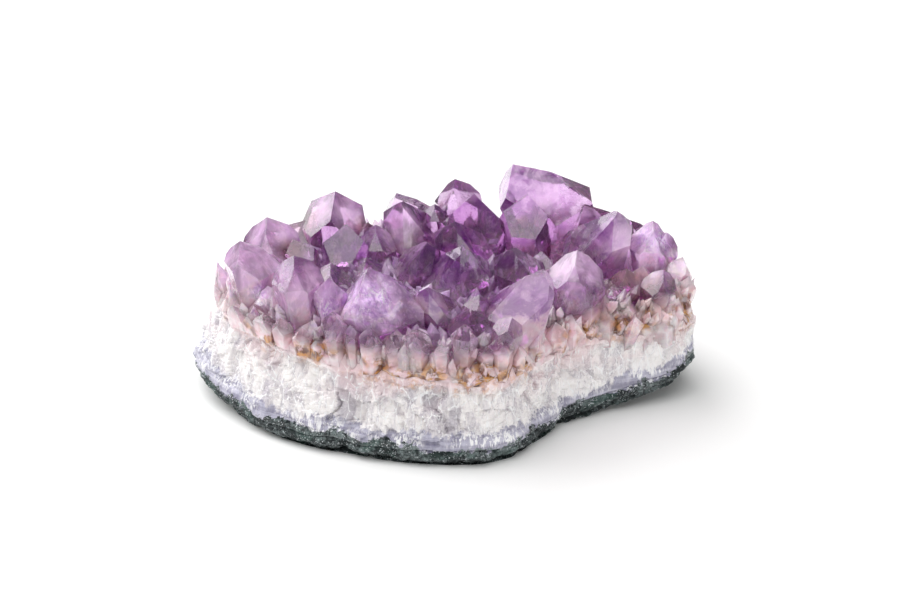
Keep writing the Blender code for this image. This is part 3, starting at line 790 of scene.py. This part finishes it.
def amethyst(name, absorbed, root_height, veil):
    """Clear violet crystal, milky towards its roots. Two shaders are mixed: clear by transmission, and milky
    by light spread under its skin. absorbed is what the clear part takes of red, green and blue for each
    metre, and veil is the share of milkiness all over."""
    g = Graph(name)
    height, cracked, pale = g.height(), g.noted("cracked"), g.noted("pale")
    # Painted shade and dirt in the creases, weaker on pale crystals and low down; it also darkens the clear
    # crystal's tint
    valley_shade_and_dirt = g.noted("valley_shade_and_dirt") * (1 - pale * 0.5) * (0.25 + height.between(22, 29) * 0.75)
    growth = g.noise((2.5, 2.5, 0.35), 2, 0.5) * 0.02 + g.noise(2.0, 3, 0.5, 1.5) * cracked * 0.4
    normal = g.bump(growth, 1.0)
    zones = g.noise(4.5, 4, 0.6, 0.8).between(0.42, 0.60)
    depth = g.larger((g.noted("inward") - 4).between(0, 20), g.noted("vivid") * 0.8)
    depth = (0.35 + zones * 0.65) * depth * (1 - pale * 0.7)
    clear = g.mix(depth, COLOURLESS, TINTED)
    clear = g.mix(g.noted("smoky") * 0.8, clear, TINTED_SMOKE)
    clear = g.mix(valley_shade_and_dirt * 0.7, clear, TINTED_VALLEY_SHADE)
    body, rusty, threads_and_highlights = milky_crystal(g, height, zones, depth, valley_shade_and_dirt, root_height)
    milky = g.node("ShaderNodeBsdfPrincipled", {
        "Base Color": body, "Roughness": 0.2, "IOR": AMETHYST_IOR, "Normal": normal,
        "Coat Weight": 0.5, "Coat Roughness": 0.03, "Coat IOR": 1.55,
        "Subsurface Weight": 0.6, "Subsurface Radius": (0.0025, 0.002, 0.0022), "Subsurface Scale": 1.0,
    })
    g.surface(
        Base_Color=clear, Roughness=0.015 + cracked * 0.06, IOR=AMETHYST_IOR, Transmission_Weight=1.0,
        Coat_Weight=0.6, Coat_Roughness=0.03, Coat_IOR=1.55, Normal=normal,
    )
    share = milkiness(g, height, depth, root_height, veil)
    # Rust, white threads and the painted ridge highlights turn the surface milky
    share = g.larger(share, g.larger(rusty * 0.95, threads_and_highlights * 0.9))
    both = g.node("ShaderNodeMixShader", {0: share, 1: Value(g, g.shader.outputs[0]), 2: milky["BSDF"]})
    most = max(absorbed)
    inside = g.node("ShaderNodeVolumeAbsorption", {
        "Color": tuple(1 - part / most for part in absorbed), "Density": float(most)})
    output = g.tree.nodes["Material Output"]
    g.feed(output.inputs["Surface"], both["Shader"])
    g.feed(output.inputs["Volume"], inside["Volume"])
    return g


def rock(g):
    """Dark grey-green rock: its colour, and where pale specks of quartz lie in it."""
    tone = (g.noise(1.1, 5, 0.7) + (g.noise(7, 2) - 0.5) * 0.5).between(0.42, 0.68)
    colour = g.mix(tone, ROCK_DARK, ROCK_GREY)
    moss = g.noise(6, 2).between(0.5, 0.7) * 0.5
    colour = g.mix(moss, colour, ROCK_MOSS)
    specks = g.cells(0.45).between(0.40, 0.24) * g.noise(1.6, 3, 0.6).between(0.44, 0.58)
    return g.mix(specks * 0.85, colour, ROCK_SPECK), specks


def over_rock(g, level):
    """1 above the ragged border between rock and quartz, 0 below it. level is the height above the border's
    mean line, and the two pieces on both sides of it use the same pattern. The rock climbs higher in the
    left half, as a layer does that was thicker there."""
    ragged = 5 * (g.noise(1.8, 4, 0.65, 0.5) - 0.5) + 6 * (g.noise(8, 2) - 0.5)
    along = g.place_part("X")
    higher = along.between(-44, -32) * along.between(-2, -14) * 1.3
    return (level + ragged - higher).between(-0.15, 0.25)


def agate(g):
    """Grey-lilac agate in thin wavy bands."""
    bands = g.noise((30, 30, 0.8), 2, 0.5, 0.6) * 0.6 + g.noise(2.5, 3) * 0.4
    return g.mix(bands.between(0.4, 0.6), AGATE_DARK, AGATE_LIGHT)


def quartz_facets(g, sugar_and_painted_light):
    """Colour of the broken quartz, every facet with a greyness of its own, and a number for each of the
    smallest facets. The last argument is the share of fine white grain, and also of painted light: both grow
    to the right, the side that the lamps at the left light less."""
    warp = g.noise(3, 3, 0.6, 0.0, "Color")
    large = g.facets((4.0, 4.0, 8), warp, 0.6)
    middle = g.facets((1.7, 1.7, 4.0), warp, 0.7)
    small = g.facets((0.6, 0.6, 1.6), warp, 0.5)
    tone = large * 0.4 + middle * 0.35 + small * 0.25
    cloud = g.noise((7, 7, 9), 3, 0.5).between(0.35, 0.65)
    columns = g.noise((2.2, 2.2, 14), 3, 0.55, 0.3).between(0.38, 0.62)
    tone = (tone * 0.55 + cloud * 0.2 + columns * 0.25 + sugar_and_painted_light * 0.12).between(0.25, 0.75)
    grain = g.noise(0.35, 3, 0.6).between(0.35, 0.65) * (0.25 + sugar_and_painted_light * 0.35)
    return g.mix(grain, g.mix(tone, WALL_GREY, WALL_WHITE), SUGAR_WHITE), small


def milky_quartz(obj):
    """Broken quartz: white splinters stand over a strip of grey agate, scraps of the rock cling to its
    foot, and its top is pink and rusty."""
    g = Graph("milky_quartz")
    foot, below = g.noted("above_foot"), g.noted("below_top")
    # Painted light with real fine grain: the wall is whiter and grainier to the right, the side that the
    # lamps at the left light less
    sugar_and_painted_light = g.place_part("X").between(0, 30)
    milk, small = quartz_facets(g, sugar_and_painted_light)
    pink = g.noise((9, 9, 6), 2).between(0.40, 0.60) * below.between(9, 0)
    milk = g.mix(pink * 0.7, milk, WALL_PINK)
    splinter = g.noise((0.7, 0.7, 3.6), 4, 0.6, 0.8)
    cracks = g.cells((2.6, 2.6, 6.5), "DISTANCE_TO_EDGE").between(0.05, 0.01) * splinter.between(0.40, 0.55)
    fringe = g.noise(7, 2).between(0.35, 0.6)
    low = (foot + 9 * (splinter - 0.5)).between(7.0, 3.0) * splinter.between(0.48, 0.56) * fringe
    milk = g.mix(g.larger(cracks, low * 0.9), milk, SPLINTER_WHITE)
    wide = g.noise(9, 2).between(0.3, 0.7) * 2.0 - sugar_and_painted_light * 1.2
    strip = (foot - wide + 6.0 * (g.noise((1.6, 1.6, 4.5), 4, 0.6, 0.5) - 0.5)).between(3.5, 2.6)
    milk = g.mix(strip * (1 - low * (foot + 3 * splinter).between(2.2, 3.4)) * 0.9, milk, agate(g))
    milk = g.mix(over_rock(g, foot - 0.3), rock(g)[0], milk)
    rust = g.mix(g.noise(1.1, 3).between(0.4, 0.6), *WALL_RUST)
    grains = g.noise(1.6, 4, 0.65).between(0.44, 0.58)
    rusty = g.noted("rust") * grains * below.between(4.0, -0.5) * g.noise(6, 2).between(0.38, 0.50)
    milk = g.mix(rusty * 0.95, milk, rust)
    milk = g.mix(below.between(2.5, -1.5) * 0.7, milk, WALL_TOP_PINK)
    milk = g.mix(g.noted("inward").between(8, 13), milk, INNER_PINK)
    g.surface(
        Base_Color=milk, Roughness=0.10 + small * 0.3, IOR=1.54,
        Subsurface_Weight=0.35, Subsurface_Radius=(0.003, 0.003, 0.0032), Subsurface_Scale=1.0,
        Normal=g.bump(g.noise((0.5, 0.5, 1.2), 3, 0.6), 0.10),
    )
    g.wear(obj, "milky_quartz")


def basalt(obj):
    """Dark rock, frosted with agate and quartz where it meets the wall."""
    g = Graph("basalt")
    colour, specks = rock(g)
    frost = g.mix(g.noise(0.8, 3).between(0.5, 0.6), agate(g), FROST_WHITE)
    colour = g.mix(over_rock(g, -g.noted("below_quartz")) * 0.9, colour, frost)
    g.surface(
        Base_Color=colour, Roughness=0.7 - specks * 0.5, IOR=1.5, Normal=g.bump(g.noise(0.5, 4, 0.7), 0.3)
    )
    g.wear(obj, "basalt")


# Camera, light and floor


def aimed(obj, place, target):
    """Puts a lamp or the camera at a place and turns it to face a target."""
    obj.location = place
    obj.rotation_euler = (Vector(target) - Vector(place)).to_track_quat("-Z", "Y").to_euler()


def studio():
    """A white floor and a dim white room with three soft lamps that face the middle of the floor."""
    mesh = bpy.data.meshes.new("floor")
    corners = [(-1, -1, 0), (1, -1, 0), (1, 1, 0), (-1, 1, 0)]
    mesh.from_pydata(np.array(corners) * FLOOR_REACH, [], [(0, 1, 2, 3)])
    g = Graph("floor_white")
    g.surface(Base_Color=FLOOR_WHITE, Roughness=0.9)
    mesh.materials.append(g.material)
    placed("floor", mesh)

    world = bpy.data.worlds.new("white_room")
    bpy.context.scene.world = world
    world.use_nodes = True
    background = world.node_tree.nodes["Background"].inputs
    background["Color"].default_value = (1.0, 1.0, 1.0, 1.0)
    background["Strength"].default_value = ROOM_LIGHT

    for name, place, width, height, power in LAMPS:
        lamp = bpy.data.lights.new(name, "AREA")
        lamp.shape = "RECTANGLE"
        lamp.size, lamp.size_y = width, height
        lamp.energy = power
        aimed(placed(name, lamp), place, (0, 0, 0))


def camera():
    """The camera stands in front and looks down at the middle of the cluster."""
    data = bpy.data.cameras.new("camera")
    data.lens, data.sensor_width = CAMERA_LENS, SENSOR_WIDTH
    target = Vector((-CAD_ORIGIN[0], -CAD_ORIGIN[1], LOOKED_AT_HEIGHT)) * MM
    tilt = math.radians(CAMERA_TILT)
    back = Vector((0, -math.cos(tilt), math.sin(tilt)))
    obj = placed("camera", data)
    aimed(obj, target + CAMERA_DISTANCE * back, target)
    bpy.context.scene.camera = obj


def main():
    """Every piece with its material, then the room round them."""
    points = crystals()
    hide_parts("amethyst_crystals")
    amethyst("amethyst", *LARGE_CRYSTALS).wear(points, "amethyst")
    rim = rim_points(RIM_COUNT)
    tree = BVHTree.FromObject(points, bpy.context.evaluated_depsgraph_get())
    small = strewn_points(tree, "small_points", SMALL_COUNT, SMALL_INWARD, SMALL_RADII, 7)
    druse = strewn_points(tree, "druse_points", DRUSE_COUNT, DRUSE_INWARD, DRUSE_RADII, 9)
    rim_look = amethyst("rim_amethyst", *RIM_CRYSTALS)
    rim_look.wear(rim, "amethyst")
    rim_look.wear(small, "amethyst")
    amethyst("druse_amethyst", *DRUSE_CRYSTALS).wear(druse, "amethyst")
    wall = quartz_wall()
    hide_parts("quartz_band")
    milky_quartz(wall)
    rind = crust()
    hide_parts("basalt_rind")
    basalt(rind)
    for obj in (points, rim, small, druse, wall, rind):
        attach(obj, "root")
    studio()
    camera()
    bpy.context.scene.view_settings.view_transform = "Standard"


main()
